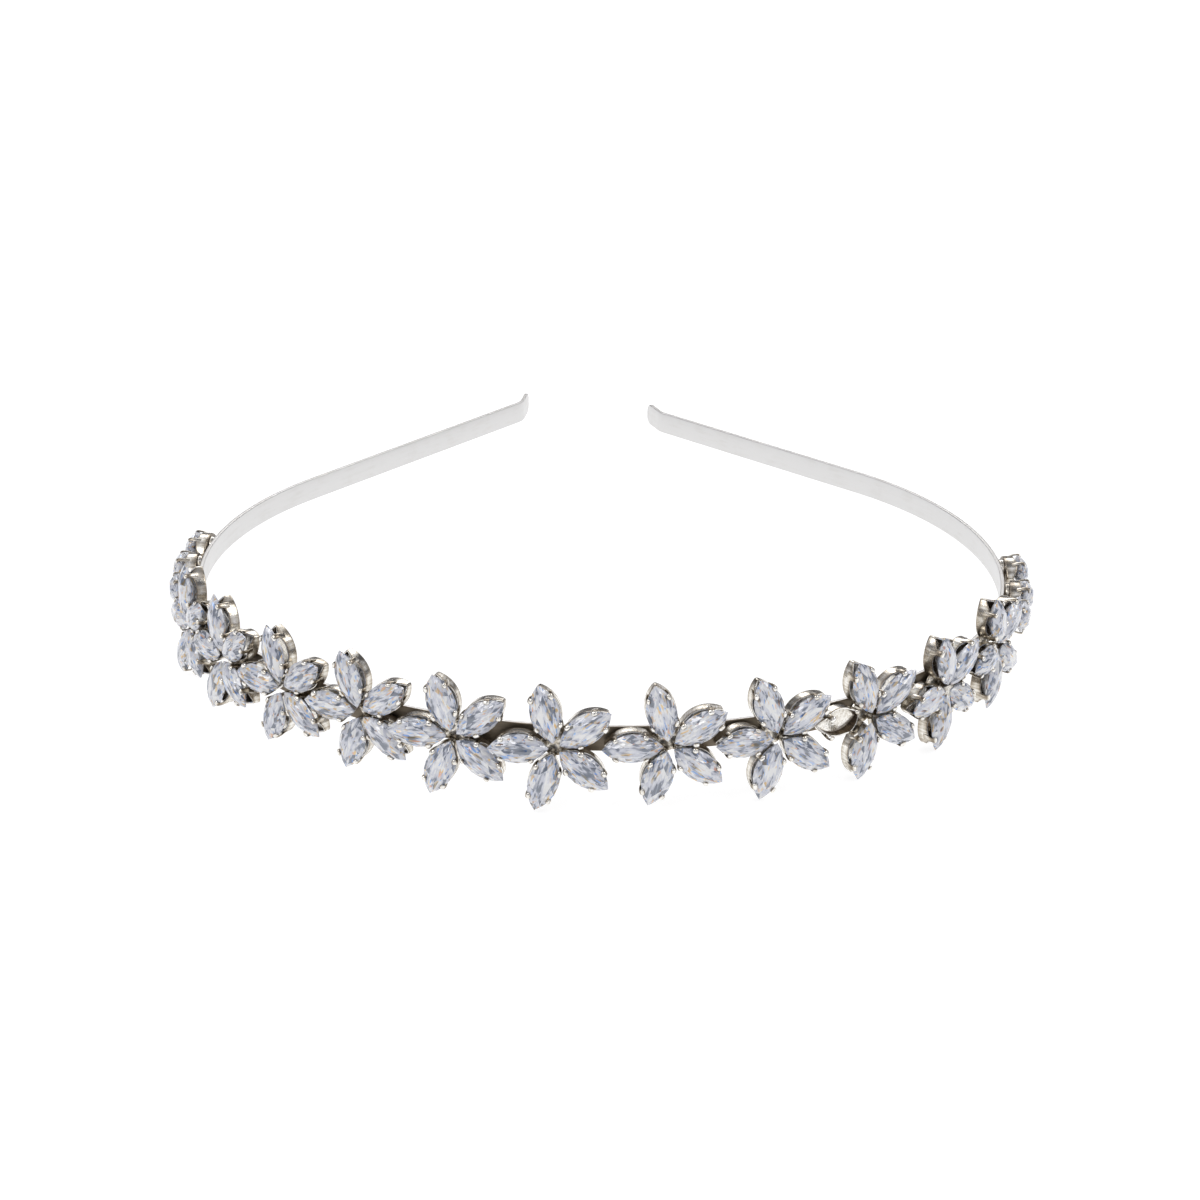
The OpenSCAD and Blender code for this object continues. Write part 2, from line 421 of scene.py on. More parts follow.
def make_piece(name, shape, material, stands_for, smooth=None):
    """smooth is the angle, in degrees, up to which two faces are shaded as one."""
    mesh = bpy.data.meshes.new(name)
    mesh.from_pydata(shape.points, [], shape.faces)
    own = mesh.attributes.new("own_place", "FLOAT_VECTOR", "CORNER")
    own.data.foreach_set("vector", [number for place in shape.own_places for number in place])
    mesh.attributes.new("tarnish_and_shade", "FLOAT", "POINT").data.foreach_set("value", shape.tarnish_and_shade)
    mesh.materials.append(material)
    piece = bpy.data.objects.new(name, mesh)
    bpy.context.scene.collection.objects.link(piece)
    if smooth is not None:
        bpy.context.view_layer.objects.active = piece
        piece.select_set(True)
        bpy.ops.object.shade_smooth_by_angle(angle=math.radians(smooth))
        piece.select_set(False)
    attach(piece, "root")
    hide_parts(stands_for)


print("piece helper is ready")

# %% [markdown]
# ## Tubes
#
# A cup's wall, a claw, a solder foot and the band all have the same build: rings of points, each joined
# to the next one, with a flat face on the first ring and on the last. Only the rings differ, so one
# function makes the faces of all four. Where a ring runs the other way round, the faces are turned over
# so that they look outward.

# %% Tube helpers
def tube_faces(rings, sides):
    """Faces between rings of points that follow each other, and one face over each end."""
    faces = []
    for r in range(rings - 1):
        for s in range(sides):
            n = (s + 1) % sides
            faces.append([r * sides + s, r * sides + n, (r + 1) * sides + n, (r + 1) * sides + s])
    faces.append(list(range(sides))[::-1])
    faces.append([(rings - 1) * sides + s for s in range(sides)])
    return faces


def turned_over(faces):
    return [face[::-1] for face in faces]


def full_circle(sides):
    return [2 * math.pi * s / sides for s in range(sides)]


print("a square tube of two rings has", len(tube_faces(2, 4)), "faces")

# %% [markdown]
# ## A leaf outline
#
# The outline of a marquise stone is where two equal circles overlap, and its cup follows it. The
# circles' radius comes from the leaf's length and width.

# %% Leaf outline
def leaf_radius(length, width):
    return (length * length + width * width) / (4 * width)


def leaf_points(length, width, steps):
    """An even walk round a leaf outline, from its inner tip along one side and back along the other."""
    radius = leaf_radius(length, width)
    reach = math.asin(length / 2 / radius)
    points = []
    for side in (1, -1):
        for k in range(steps // 2):
            angle = side * reach * (4 * k / steps - 1)
            y = side * (radius * math.cos(angle) - radius + width / 2)
            points.append((radius * math.sin(angle), y))
    return points


arc_radius = leaf_radius(STONE["length"], STONE["width"])
print("the stone's two arcs have a radius of", round(arc_radius / MM, 2), "mm")

# %% [markdown]
# ## A marquise stone
#
# A marquise is a boat-shaped brilliant. A cutter grinds flat facets: eight mains round the crown that
# meet a flat table, eight mains below that meet in a point, and small facets between them and the
# girdle. A mesh could be cut in the same way, with one plane after another. Working out the corners is
# quicker and leaves no crumbs. Each main is a plane through the girdle, so the corners between two
# mains are found where their planes cross. That keeps every facet truly flat, which is what makes it
# flash.

# %% Corners of the stone
TABLE_SHARE = 0.52
STAR_LEVEL = 0.52
LOWER_LEVEL = 0.74
MAINS = 8
OUTLINE_STEPS = 2 * MAINS


def crossing(plane_a, plane_b, height):
    """Where two planes, each a (point, normal) pair, cross at a height."""
    rows, goals = [], []
    for point, normal in (plane_a, plane_b):
        rows.append([normal.x, normal.y])
        goals.append(normal.dot(point) - normal.z * height)
    x, y = np.linalg.solve(rows, goals)
    return Vector((x, y, height))


def main_plane(girdle_point, edge, end):
    """The plane of a main facet: level along the girdle's edge there, and through the end point."""
    return girdle_point, edge.cross(end - girdle_point).normalized()


def stone_corners():
    """The corner points by name: the girdle has an upper and a lower edge."""
    outline = leaf_points(STONE["length"], STONE["width"], OUTLINE_STEPS)
    top, bottom = STONE["girdle"] / 2, -STONE["girdle"] / 2
    upper = [Vector((x, y, top)) for x, y in outline]
    lower = [Vector((x, y, bottom)) for x, y in outline]
    table = [Vector((TABLE_SHARE * x, TABLE_SHARE * y, top + STONE["crown"])) for x, y in outline[::2]]
    point = Vector((0, 0, bottom - STONE["pavilion"]))
    edges = []
    for k in range(MAINS):
        before, after = outline[2 * k - 1], outline[(2 * k + 1) % OUTLINE_STEPS]
        edges.append(Vector((after[0] - before[0], after[1] - before[1], 0)).normalized())
    crown = [main_plane(upper[2 * k], edges[k], table[k]) for k in range(MAINS)]
    under = [main_plane(lower[2 * k], edges[k], point) for k in range(MAINS)]
    star_height = top + STAR_LEVEL * STONE["crown"]
    low_height = bottom - LOWER_LEVEL * STONE["pavilion"]
    stars = [crossing(crown[k], crown[(k + 1) % MAINS], star_height) for k in range(MAINS)]
    lows = [crossing(under[k], under[(k + 1) % MAINS], low_height) for k in range(MAINS)]
    return {"table": table, "stars": stars, "upper": upper, "lower": lower, "lows": lows, "point": [point]}


corners = stone_corners()
print("a stone has", sum(len(row) for row in corners.values()), "corners")

# %% [markdown]
# ## The stone's facets
#
# The facets repeat for each main, going round: a star, a kite and two small triangles in the crown, two
# facets in the girdle, and two small triangles and a kite below. Every facet lists its corners in the
# same sense, seen from outside. Blender takes the outside of glass from that.

# %% Cut stone
def stone_faces(corners):
    numbers, start = {}, 0
    for name, row in corners.items():
        numbers[name] = list(range(start, start + len(row)))
        start += len(row)
    table, stars, upper, lower, lows, (point,) = numbers.values()
    faces = [table[::-1]]
    for k in range(MAINS):
        before, after = (k - 1) % MAINS, (k + 1) % MAINS
        here, half, there = 2 * k, 2 * k + 1, (2 * k + 2) % OUTLINE_STEPS
        faces += [
            [table[k], table[after], stars[k]],
            [table[k], stars[k], upper[here], stars[before]],
            [stars[k], upper[half], upper[here]],
            [stars[k], upper[there], upper[half]],
            [upper[here], upper[half], lower[half], lower[here]],
            [upper[half], upper[there], lower[there], lower[half]],
            [lower[here], lower[half], lows[k]],
            [lower[half], lower[there], lows[k]],
            [lower[here], lows[k], point, lows[before]],
        ]
    return faces


cut_stone = Shape()
corner_points = [corner for row in corners.values() for corner in row]
no_tarnish = [0.0] * len(corner_points)
cut_stone.add(corner_points, no_tarnish, stone_faces(corners))
print("a stone has", len(cut_stone.faces), "facets")

# %% [markdown]
# ## A claw cup
#
# Jewellers buy such cups stamped from thin sheet: a leaf-shaped floor, a low wall, and four claws that
# grow out of the wall. Sheet doesn't bend to a sharp tip, so the cup's tips are small round bends. The
# outline can be drawn in by an inset, which gives the inside of the wall. A scaled copy would make the
# wall thin at the sides and thick at the tips.

# %% Cup outline
CUP_LENGTH = 7.2 * MM
CUP_WIDTH = 4.1 * MM
TIP_RADIUS = 0.42 * MM
INNER_TIP_RADIUS = 0.03 * MM
SIDE_STEPS = 42
TIP_STEPS = 6
WALL_STEPS = 2 * (SIDE_STEPS + TIP_STEPS)


def cup_outline(inset):
    """A leaf with rounded tips, drawn in by an inset; its length counts to where sharp tips would be."""
    radius = leaf_radius(CUP_LENGTH, CUP_WIDTH)
    rise = radius - CUP_WIDTH / 2
    bend = radius - inset
    tip = max(TIP_RADIUS - inset, INNER_TIP_RADIUS)
    along = math.sqrt((bend - tip) ** 2 - rise ** 2)
    reach = math.atan2(along, rise)
    points = []
    for side in (1, -1):
        for k in range(SIDE_STEPS):
            angle = side * reach * (2 * k / SIDE_STEPS - 1)
            points.append((bend * math.sin(angle), side * (bend * math.cos(angle) - rise)))
        for k in range(TIP_STEPS):
            turn = reach + (math.pi - 2 * reach) * k / TIP_STEPS
            points.append((side * (along + tip * math.sin(turn)), side * tip * math.cos(turn)))
    return points


outer_outline = cup_outline(0)
half_cup = max(x for x, _ in outer_outline)
print("the cup is", round(2 * half_cup / MM, 2), "mm long")

# %% [markdown]
# ## The cup's wall
#
# The rim dips between the claws, so that light reaches the stone, and at the two tips. A leaf with a
# Solidify modifier would have the same height all round. So the wall is one profile carried round the
# outline, with the rim's height worked out from how far the nearest claw is. Dirt and painted shade sit
# in the corners and under the lip, and the lip itself is rubbed bright.

# %% Cup
WALL = 0.26 * MM
FLOOR = 0.35 * MM
RIM_LOW = 1.5 * MM
RIM_HIGH = 1.8 * MM
TIP_RIM = 0.95 * MM
TIP_DIP_LENGTH = 1.0 * MM
EDGE_ROUND = 0.22 * MM
CLAW_PLACES = (-1.75 * MM, 2.3 * MM)
CLAW_RISE_LENGTH = 0.75 * MM


def rim_height(x):
    """High at the claws, low between them, and lowest at the tips."""
    rise = max(math.exp(-((x - place) / CLAW_RISE_LENGTH) ** 2) for place in CLAW_PLACES)
    height = RIM_LOW + (RIM_HIGH - RIM_LOW) * rise
    tip = (CUP_LENGTH / 2 - abs(x)) / TIP_DIP_LENGTH
    if tip < 1:
        height = TIP_RIM + (height - TIP_RIM) * math.sin(max(tip, 0) * math.pi / 2)
    return height


def cup_profile(height):
    """Round the outside, over the rim and down to the floor: (inset, height, tarnish with painted shade).
    """
    # the third numbers are dirt and painted shade: dark in the corners and under the lip, clean on the lip
    r, lip = EDGE_ROUND, WALL / 3
    return [
        (1.6 * r, 0, 0.8), (r, 0, 0.7), (0.3 * r, 0.1 * r, 0.65), (0.05 * r, 0.45 * r, 0.6), (0, r, 0.5),
        (0, 0.55 * height, 0.25), (0, height - 1.8 * lip, 0.45), (0, height - lip, 0.8),
        (0.3 * lip, height - 0.25 * lip, 0.5), (lip, height, 0.05),
        (WALL - lip, height, 0.0), (WALL - 0.3 * lip, height - 0.25 * lip, 0.3), (WALL, height - lip, 0.6),
        (WALL, FLOOR + r, 0.8), (WALL + 0.3 * r, FLOOR + 0.3 * r, 0.7), (WALL + r, FLOOR, 0.2),
    ]


def cup_shape():
    profiles = [cup_profile(rim_height(x)) for x, _ in outer_outline]
    points, marks = [], []
    for ring in zip(*profiles):
        inset = ring[0][0]
        for (x, y), (_, height, tarnish_and_shade) in zip(cup_outline(inset), ring):
            points.append((x, y, height - UNDERSIDE_DEPTH))
            marks.append(tarnish_and_shade)
    shape = Shape()
    shape.add(points, marks, turned_over(tube_faces(len(profiles[0]), WALL_STEPS)))
    return shape


cup = cup_shape()
print("a cup has", cup.triangles(), "triangles")

# %% [markdown]
# ## A claw
#
# A claw is a flat tongue of the wall that stands up past the girdle and is pressed over the crown with
# a burnisher. The pressing rounds its end into a small bright bead. A ball on a bent wire would look
# too thin and too round. So it is a row of ovals along a bent line: wide at the root, narrower at the
# bend, wider and fatter again at the head. The line is given as steps outward from the stone's edge and
# up from the cup's underside.

# %% Claw
CLAW_SIDES = 16
CLAW_LINE = [
    # out, up, half width, half thickness, all in millimetres, and tarnish with painted shade under the
    # head
    (-0.10, 1.00, 0.46, 0.10, 0.5),
    (-0.02, 1.40, 0.43, 0.11, 0.4),
    (0.09, 1.75, 0.38, 0.12, 0.4),
    (0.15, 2.15, 0.34, 0.12, 0.5),
    (0.16, 2.45, 0.32, 0.12, 0.6),
    (0.14, 2.62, 0.33, 0.13, 0.7),
    (0.09, 2.74, 0.36, 0.14, 0.5),
    (0.02, 2.82, 0.38, 0.15, 0.2),
    (-0.08, 2.88, 0.39, 0.15, 0.1),
    (-0.19, 2.91, 0.38, 0.14, 0.1),
    (-0.29, 2.91, 0.34, 0.13, 0.3),
    (-0.37, 2.90, 0.26, 0.10, 0.7),
    (-0.42, 2.89, 0.12, 0.06, 0.8),
]


def claw_shape():
    line = [Vector((out, up)) * MM for out, up, *_ in CLAW_LINE]
    points, marks = [], []
    for k, (_, _, half_width, half_thickness, tarnish_and_shade) in enumerate(CLAW_LINE):
        run = (line[min(k + 1, len(line) - 1)] - line[max(k - 1, 0)]).normalized()
        outward = Vector((run.y, -run.x))
        for turn in full_circle(CLAW_SIDES):
            x = half_width * MM * math.cos(turn)
            offset = half_thickness * MM * math.sin(turn) * outward
            points.append((x, line[k].x + offset.x, line[k].y + offset.y - UNDERSIDE_DEPTH))
            marks.append(tarnish_and_shade)
    shape = Shape()
    shape.add(points, marks, tube_faces(len(line), CLAW_SIDES))
    return shape


def edge_place(x, side):
    """A place on the stone's edge, with Y away from the stone."""
    radius = leaf_radius(STONE["length"], STONE["width"])
    slope = math.asin(x / radius)
    y = radius * math.cos(slope) - radius + STONE["width"] / 2
    turn = -slope if side > 0 else math.pi + slope
    return Matrix.Translation((x, side * y, 0)) @ Matrix.Rotation(turn, 4, "Z")


claw = claw_shape()
print("a claw has", claw.triangles(), "triangles")

# %% [markdown]
# ## Solder foot
#
# Behind each flower a pool of solder joins the five cups to each other and to the band. It is a low
# dome with a soft edge, and it reaches back as far as the band. Blender's Spin tool turns such a form
# like a pot from a short outline, and here a tube does the same. The single stones stand on taller
# feet.

# %% Solder foot
FOOT_RADIUS = 1.75 * MM
FLOWER_FOOT = 0.3 * MM
SINGLE_FOOT = 0.6 * MM
FOOT_EDGE = 0.12 * MM
FOOT_DOME = 0.24 * MM
FOOT_SIDES = 48
FOOT_TARNISH = 0.35


def foot_shape(length):
    """A dome that reaches a length back from the cup's underside, where its heights start."""
    outline = [
        # share of the radius, height
        (0.8, -length - FOOT_EDGE), (0.95, -length), (1.0, -0.6 * length), (0.97, -0.1 * length),
        (0.88, 0.25 * FOOT_DOME), (0.6, 0.65 * FOOT_DOME), (0.3, 0.95 * FOOT_DOME), (0.08, FOOT_DOME),
    ]
    points = []
    for share, height in outline:
        radius = share * FOOT_RADIUS
        for turn in full_circle(FOOT_SIDES):
            points.append((radius * math.cos(turn), radius * math.sin(turn), height))
    shape = Shape()
    shape.add(points, [FOOT_TARNISH] * len(points), tube_faces(len(outline), FOOT_SIDES))
    return shape


flower_foot, single_foot = foot_shape(FLOWER_FOOT), foot_shape(SINGLE_FOOT)
print("a flower's foot has", flower_foot.triangles(), "triangles")

# %% [markdown]
# ## The line of the band
#
# The real band is a flat strip of springy metal, bent round a former, and its ends turn away from the
# head so that they don't scratch. A Blender curve could carry the strip, but its handles don't say how
# tight a bend is. So the line is walked here, from the middle of the front to each end: a round
# stretch, a straight arm, a tight bend and a short end. The last steps grow shorter, to draw the round
# corners.

# %% Line of the band
BAND_THICKNESS = 0.6 * MM
BAND_RADIUS = 59 * MM
FLARE_RADIUS = 4 * MM
END_LENGTH = 4.48 * MM
END_CORNER = 1.2 * MM
ARM_STEPS = 8
FLARE_STEPS = 10
END_STEPS = 6
CORNER_STEPS = 9
# how far each arm's round stretch turns and its end flares, in degrees
LEFT_ARM = {"turn": 129.8, "length": 51.6 * MM, "flare": 30}
RIGHT_ARM = {"turn": 133.9, "length": 42.7 * MM, "flare": 24}


def half_line(arm, side):
    """Stations from the front to the end of one arm: (place, direction away from the head, run)."""
    stations = []
    heading, place, run = 0.0, Vector((0, -BAND_RADIUS)), 0.0

    def step(length, turn):
        nonlocal heading, place, run
        if turn:
            radius = length / turn
            centre = place + radius * Vector((-math.sin(heading), math.cos(heading)))
            heading += turn
            place = centre + radius * Vector((math.sin(heading), -math.cos(heading)))
        else:
            place = place + length * Vector((math.cos(heading), math.sin(heading)))
        run += length
        stations.append((place, Vector((math.sin(heading), -math.cos(heading))), run))

    stations.append((place, Vector((0, -1)), 0.0))
    degrees = int(arm["turn"])
    for _ in range(degrees):
        angle = math.radians(arm["turn"]) / degrees
        step(BAND_RADIUS * angle, angle)
    for _ in range(ARM_STEPS):
        step(arm["length"] / ARM_STEPS, 0)
    for _ in range(FLARE_STEPS):
        angle = -math.radians(arm["flare"]) / FLARE_STEPS
        step(-FLARE_RADIUS * angle, angle)
    for _ in range(END_STEPS):
        step((END_LENGTH - END_CORNER) / END_STEPS, 0)
    for k in range(CORNER_STEPS):
        near, far = (math.sin(math.pi / 2 * j / CORNER_STEPS) for j in (k, k + 1))
        step(END_CORNER * (far - near), 0)
    return [(Vector((side * p.x, p.y)), Vector((side * n.x, n.y)), r) for p, n, r in stations]


left, right = half_line(LEFT_ARM, -1), half_line(RIGHT_ARM, 1)
print("the band is", round((left[-1][2] + right[-1][2]) / MM), "mm long")

# %% [markdown]
# ## The strip
#
# The strip's edges are soft from tumbling and its ends are rounded. So its cross-section is a small
# rectangle with round corners, and it is carried along the line and made lower in the last steps. The
# outer face is painted dark behind the flowers, as painted shade from the flowers in front of it, and
# bright again along the arms.

# %% Band
BAND_WIDTH = band_high.z - band_low.z
EDGE_SOFTNESS = 0.15 * MM
MOST_SOFTNESS = 0.9  # share of the half height that the softness may take near the ends
SOFT_STEPS = 4
STRIP_SIDES = 4 * (SOFT_STEPS + 1)
FLOWER_RUN = 75 * MM
FADE_RUN = 30 * MM
EDGE_TARNISH = 0.25
ARM_TARNISH = 0.1
# painted shade on the outer face behind the flowers, where the flowers darken the band
PAINTED_SHADE_BEHIND_FLOWERS = 0.8
EDGE_DEPTH = 0.3  # share of the thickness, from the strip's middle, where its edges begin
EDGE_BLEND = 0.2
ROUND_MIDDLE = Vector(((band_low.x + band_high.x) / 2, band_low.y + BAND_RADIUS + BAND_THICKNESS / 2))


def strip_section(half_height):
    """Round the strip, from its outer top corner: (distance away from the head, height)."""
    points = []
    x, y, r = BAND_THICKNESS / 2, half_height, min(EDGE_SOFTNESS, MOST_SOFTNESS * half_height)
    for corner, (sx, sy) in enumerate(((1, 1), (-1, 1), (-1, -1), (1, -1))):
        for k in range(SOFT_STEPS + 1):
            turn = math.pi / 2 * (corner + k / SOFT_STEPS)
            points.append((sx * (x - r) + r * math.cos(turn), sy * (y - r) + r * math.sin(turn)))
    return points


def band_tarnish_and_shade(out, run):
    """Painted shade outside behind the flowers, fading along the arms; bright inside, the edges between.
    """
    depth = out / BAND_THICKNESS
    outer = min(max((depth - EDGE_DEPTH) / EDGE_BLEND, 0), 1)
    edge = 1 - min(abs(abs(depth) - EDGE_DEPTH) / EDGE_BLEND, 1)
    behind_flowers = min(max((FLOWER_RUN + FADE_RUN - run) / FADE_RUN, 0), 1)
    dark = ARM_TARNISH + (PAINTED_SHADE_BEHIND_FLOWERS - ARM_TARNISH) * behind_flowers
    return EDGE_TARNISH * edge + outer * dark


def band_shape():
    points, marks = [], []
    stations = [(s, left[-1][2]) for s in left[:0:-1]] + [(s, right[-1][2]) for s in right]
    for (place, away, run), end in stations:
        past = max(0, run - (end - END_CORNER))
        half_height = BAND_WIDTH / 2 - END_CORNER + math.sqrt(max(END_CORNER ** 2 - past ** 2, 0))
        for out, height in strip_section(half_height):
            spot = ROUND_MIDDLE + place + out * away
            points.append((spot.x, spot.y, BAND_MIDDLE_HEIGHT + height))
            marks.append(band_tarnish_and_shade(out, run))
    shape = Shape()
    shape.add(points, marks, turned_over(tube_faces(len(stations), STRIP_SIDES)))
    return shape


band_form = band_shape()
print("the band has", band_form.triangles(), "triangles")

# %% [markdown]
# ## Plated metal
#
# The metal is brass with a bright silver-tone plating. It is creamy white where it is clean, beige
# where the layer is thin, and brown to nearly black where dirt and old flux sit and where shade is
# painted in. The stamping tools also leave streaks up the cups' walls. A painted picture of that would
# need seams, so three things are added up instead: the tarnish and painted shade of every corner point,
# a slow cloudy noise, and a noise drawn out into streaks. A colour ramp turns the sum into tone, and the
# darker, the duller.

# %% Metal finish
CLOUD_SIZE = 2.5 * MM
NOISE_MIDDLE = 0.5


def own_place(tree, size):
    """The point's own place in its part, counted in steps of the given three sizes."""
    place = add_node(tree, "ShaderNodeAttribute", {}, attribute_name="own_place").outputs["Vector"]
    steps_per_metre = [1 / length for length in size]
    steps = add_node(tree, "ShaderNodeMapping", {"Vector": place, "Scale": steps_per_metre})
    return steps.outputs["Vector"]


def multiply_add(tree, value, factor, addend):
    sources = {0: value, 1: factor, 2: addend}
    return add_node(tree, "ShaderNodeMath", sources, operation="MULTIPLY_ADD").outputs[0]


def pushed(tree, darkness, unevenness, share):
    """The tarnish and painted shade, pushed up or down by a share of a noise's distance from its middle.
    """
    swing = {0: unevenness, 1: NOISE_MIDDLE}
    centred = add_node(tree, "ShaderNodeMath", swing, operation="SUBTRACT").outputs[0]
    return multiply_add(tree, centred, share, darkness)


def plated_metal(name, tones, dullness, clouds, streaks, streak_size, wave_size, wave_height):
    """clouds and streaks are shares of tarnish; dullness is the roughness of clean and of dark metal."""
    material, tree, shader = new_material(name)
    anywhere = add_node(tree, "ShaderNodeTexCoord", {}).outputs["Object"]
    # each corner's tarnish, which also carries the painted shade of corners, claws and the band's outer
    # face
    darkness = add_node(tree, "ShaderNodeAttribute", {}, attribute_name="tarnish_and_shade").outputs["Fac"]
    darkness = pushed(tree, darkness, noise(tree, anywhere, 1 / CLOUD_SIZE, detail=3).outputs["Fac"], clouds)
    streak_place = own_place(tree, streak_size)
    darkness = pushed(tree, darkness, noise(tree, streak_place, 1, detail=2).outputs["Fac"], streaks)
    clean, dark = dullness
    gloss = add_node(tree, "ShaderNodeMapRange", {"Value": darkness, "To Min": clean, "To Max": dark})
    waves = noise(tree, anywhere, 1 / wave_size, detail=3).outputs["Fac"]
    dents = add_node(tree, "ShaderNodeBump", {"Strength": 1, "Distance": wave_height, "Height": waves})
    set_sockets(tree, shader, {
        "Base Color": colour_ramp(tree, darkness, tones),
        "Roughness": gloss.outputs["Result"],
        "Normal": dents.outputs["Normal"],
        "Metallic": 1,
    })
    return material


print("metal helper is ready")

# %% [markdown]
# ## The two metals
#
# The cups, claws and feet are glossy and uneven: they were stamped, soldered and cleaned by hand. The
# band was rolled and brushed, so it is a satin metal with faint streaks along it and almost no waves.
# One function makes both, and only its numbers differ.

# %% Cup metal and band metal
SETTING_TONES = [
    (0.00, (0.92, 0.905, 0.87)),
    (0.22, (0.78, 0.75, 0.69)),
    (0.42, (0.57, 0.52, 0.44)),
    (0.60, (0.34, 0.29, 0.23)),
    (0.80, (0.19, 0.16, 0.13)),
    (1.00, (0.12, 0.10, 0.085)),
]
BAND_TONES = [
    (0.00, (0.69, 0.685, 0.68)),
    (0.30, (0.58, 0.56, 0.53)),
    (0.50, (0.46, 0.39, 0.30)),
    (0.72, (0.25, 0.21, 0.16)),
    (1.00, (0.14, 0.115, 0.09)),
]

setting_metal = plated_metal(
    "plated_setting",
    SETTING_TONES,
    dullness=(0.12, 0.35),
    clouds=0.6,
    streaks=0.75,
    streak_size=(0.3 * MM, 0.3 * MM, 2.2 * MM),
    wave_size=0.5 * MM,
    wave_height=0.02 * MM,
)
band_metal = plated_metal(
    "plated_band",
    BAND_TONES,
    dullness=(0.35, 0.5),
    clouds=0.25,
    streaks=0.25,
    streak_size=(4.0 * MM, 4.0 * MM, 0.5 * MM),
    wave_size=1.6 * MM,
    wave_height=0.004 * MM,
)
print("metals:", setting_metal.name, "and", band_metal.name)

# %% [markdown]
# ## The light in a cut stone
#
# The stones are clear, with the faint cool violet of crystal under a white sky. A real facet shows the
# facets behind it, broken into long splinters: most are pale, some are dark or white, and a few split
# the light into blue and orange fire. Tracing all that through glass would take very many rays. Here
# the splinters are drawn on the facets with a cell pattern, which divides the surface into cells and
# gives each one a random colour. The colour's red picks a tint and its green picks the fire. A slow
# noise pulls neighbouring splinters towards dark or white together, and says where fire may show.

# %% Splinters
SPLINTER_TINTS = [
    (0.00, (0.20, 0.23, 0.29)),
    (0.18, (0.40, 0.43, 0.51)),
    (0.27, (0.68, 0.70, 0.80)),
    (0.62, (0.79, 0.81, 0.89)),
    (0.80, (0.92, 0.93, 0.97)),
    (0.88, (1.0, 1.0, 1.0)),
    (1.00, (1.0, 1.0, 1.0)),
]
FIRE_TINTS = [
    (0.00, (1.0, 1.0, 1.0)),
    (0.72, (1.0, 1.0, 1.0)),
    (0.73, (0.28, 0.52, 1.0)),
    (0.80, (0.45, 0.66, 1.0)),
    (0.81, (1.0, 0.64, 0.25)),
    (0.92, (1.0, 0.82, 0.52)),
    (1.00, (1.0, 0.5, 0.35)),
]
FIRE_START, FIRE_FULL = 0.48, 0.55
SPLINTER_SHARE = 0.7
CLUSTER_PULL = 3.4


def splinter_colour(tree, splinters, clusters):
    """Each splinter's tint, with fire over it where the clusters allow it."""
    one = add_node(tree, "ShaderNodeSeparateColor", {"Color": splinters.outputs["Color"]}).outputs
    many = add_node(tree, "ShaderNodeSeparateColor", {"Color": clusters.outputs["Color"]}).outputs
    middle = (1 - SPLINTER_SHARE - CLUSTER_PULL) / 2
    pull = multiply_add(tree, many["Red"], CLUSTER_PULL, middle)
    level = multiply_add(tree, one["Red"], SPLINTER_SHARE, pull)
    fire_range = {"Value": many["Green"], "From Min": FIRE_START, "From Max": FIRE_FULL}
    both = {
        "Factor": add_node(tree, "ShaderNodeMapRange", fire_range).outputs["Result"],
        "A": colour_ramp(tree, level, SPLINTER_TINTS),
        "B": colour_ramp(tree, one["Green"], FIRE_TINTS),
    }
    mixed = add_node(tree, "ShaderNodeMix", both, data_type="RGBA", blend_type="MULTIPLY")
    return mixed.outputs["Result"]


print(len(SPLINTER_TINTS), "marks for tints and", len(FIRE_TINTS), "for fire")

# %% [markdown]
# ## Splinters that catch the light
#
# Each splinter also leans its own way, so that each one mirrors another part of the tent. Thousands of
# tiny facets could do the same, at a great cost. Here the lean comes from a bump: its height grows
# across the cell from the middle, in a direction taken from the cell's random colour. A quarter of the
# light goes into the stone, bends strongly and comes back out.

# %% Stone finish
SPLINTER_SIZE = (0.9 * MM, 0.2 * MM, 0.5 * MM)
SPLINTER_RELIEF = 0.12 * MM
CLUSTER_SIZE = (2.4 * MM, 1.0 * MM, 1.5 * MM)
POLISH = 0.03
BENDING = 2.0
CLEARNESS = 0.25
MIDDLE_COLOUR = (0.5, 0.5, 0.5)


def splinter_lean(tree, place, splinters):
    """The surface's normal, leaned one way over each splinter."""
    colour, centre = splinters.outputs["Color"], splinters.outputs["Position"]
    way = add_node(tree, "ShaderNodeVectorMath", {0: colour, 1: MIDDLE_COLOUR}, operation="SUBTRACT")
    step = add_node(tree, "ShaderNodeVectorMath", {0: place, 1: centre}, operation="SUBTRACT")
    ends = {0: way.outputs["Vector"], 1: step.outputs["Vector"]}
    height = add_node(tree, "ShaderNodeVectorMath", ends, operation="DOT_PRODUCT").outputs["Value"]
    relief = {"Strength": 1, "Distance": SPLINTER_RELIEF, "Height": height}
    return add_node(tree, "ShaderNodeBump", relief).outputs["Normal"]


def clear_stone(name):
    material, tree, shader = new_material(name)
    place = own_place(tree, SPLINTER_SIZE)
    splinters = add_node(tree, "ShaderNodeTexVoronoi", {"Vector": place, "Scale": 1})
    clusters = noise(tree, own_place(tree, CLUSTER_SIZE), 1, detail=1)
    set_sockets(tree, shader, {
        "Base Color": splinter_colour(tree, splinters, clusters),
        "Normal": splinter_lean(tree, place, splinters),
        "Roughness": POLISH,
        "IOR": BENDING,
        "Transmission Weight": CLEARNESS,
    })
    return material


stone_finish = clear_stone("clear_stone")
print("stone:", stone_finish.name)

# %% [markdown]
# ## Made by hand
#
# No two parts of the real piece are the same. Each part's pattern is moved to a place of its own, and
# in a stone each facet's is. Each claw leans a little and ends wider, narrower, longer or shorter than
# the next. The random numbers start from a fixed seed, so that the headband is the same every time.

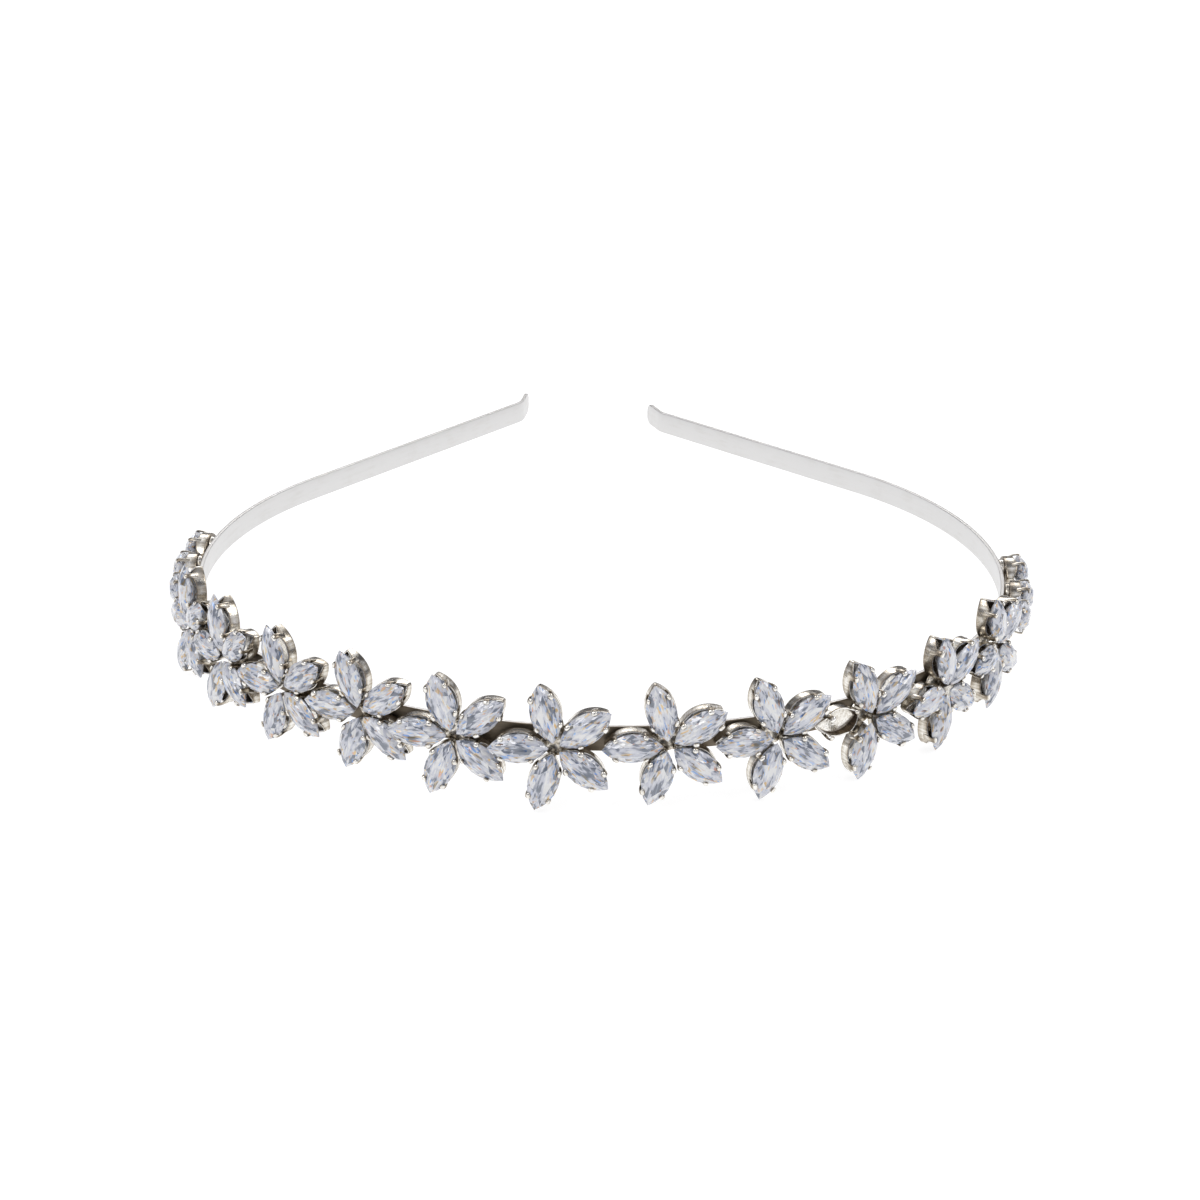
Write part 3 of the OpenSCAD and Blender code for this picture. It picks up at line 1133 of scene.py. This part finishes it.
# %% Chance
SEED = 7
PATTERN_SHIFT = 200 * MM
CLAW_LEAN = 14  # degrees
CLAW_CHANGE = 0.2
CHANGE_SHARES = (1, 1, 0.1)  # of the change, for width, length and height
chance = np.random.default_rng(SEED)


def any_shift():
    """Moves a pattern to another place of its noise."""
    return Vector(chance.random(3)) * PATTERN_SHIFT


def same_shift():
    """One shift for all faces of a part."""
    shift = any_shift()
    return lambda: shift


def pressed_by_hand():
    """A claw's lean, and its change in width, length and height."""
    lean = math.radians(CLAW_LEAN * chance.uniform(-1, 1))
    width, length, height = 1 + CLAW_CHANGE * chance.uniform(-1, 1, 3) * CHANGE_SHARES
    return Matrix.Rotation(lean, 4, "Z") @ Matrix.Diagonal((width, length, height, 1))


print("claws lean up to", CLAW_LEAN, "degrees")

# %% [markdown]
# ## Putting the flowers together
#
# Each flower becomes two pieces, as in the plain model: the soldered metal, and its stones. Linked
# copies of one cup would save memory, but then all claws would be alike, and solder makes a flower's
# metal one body. A single stone is dressed in the same way, with one cup on its own foot.

# %% Flowers and singles
SETTING_SMOOTH = 40


def dress(name, middle, up, cups, petals, foot, stones_node):
    """Makes the metal of one flower or single as one piece, and its stones as another."""
    metal = Shape()
    for petal in cups:
        metal.add(cup.points, cup.tarnish_and_shade, cup.faces, petal, same_shift())
        for x in CLAW_PLACES:
            for side in (-1, 1):
                place = petal @ edge_place(x, side) @ pressed_by_hand()
                metal.add(claw.points, claw.tarnish_and_shade, claw.faces, place, same_shift())
    facing = up.to_track_quat("Z", "Y").to_matrix().to_4x4()
    underside = middle - UNDERSIDE_DEPTH * up
    metal.add(foot.points, foot.tarnish_and_shade, foot.faces, Matrix.Translation(underside) @ facing, same_shift())
    make_piece(name + "_metalwork", metal, setting_metal, name + "_setting", SETTING_SMOOTH)
    cut = Shape()
    for petal in petals:
        cut.add(cut_stone.points, cut_stone.tarnish_and_shade, cut_stone.faces, petal, any_shift)
    make_piece(name + "_cut_stones", cut, stone_finish, stones_node)
    return metal.triangles() + cut.triangles()


triangles = []
for number, flower in enumerate(flowers, 1):
    name = f"flower_{number:02d}"
    middle, up, cups, petals = (flower[part] for part in ("middle", "up", "cups", "petals"))
    triangles.append(dress(name, middle, up, cups, petals, flower_foot, name + "_stones"))
for number, petal in enumerate(singles, 1):
    name = f"single_{number:02d}"
    up = petal.col[2].to_3d()
    triangles.append(dress(name, petal.translation, up, [petal], [petal], single_foot, name + "_stone"))
print("flowers and single stones have", sum(triangles), "triangles")

# %% [markdown]
# ## The band's piece
#
# The band is one long piece. Its faces are shaded as one across the soft edges, so they look round
# without more steps.

# %% Band piece
BAND_SMOOTH = 35

make_piece("band_strip", band_form, band_metal, "band", BAND_SMOOTH)
print("the band is in place")
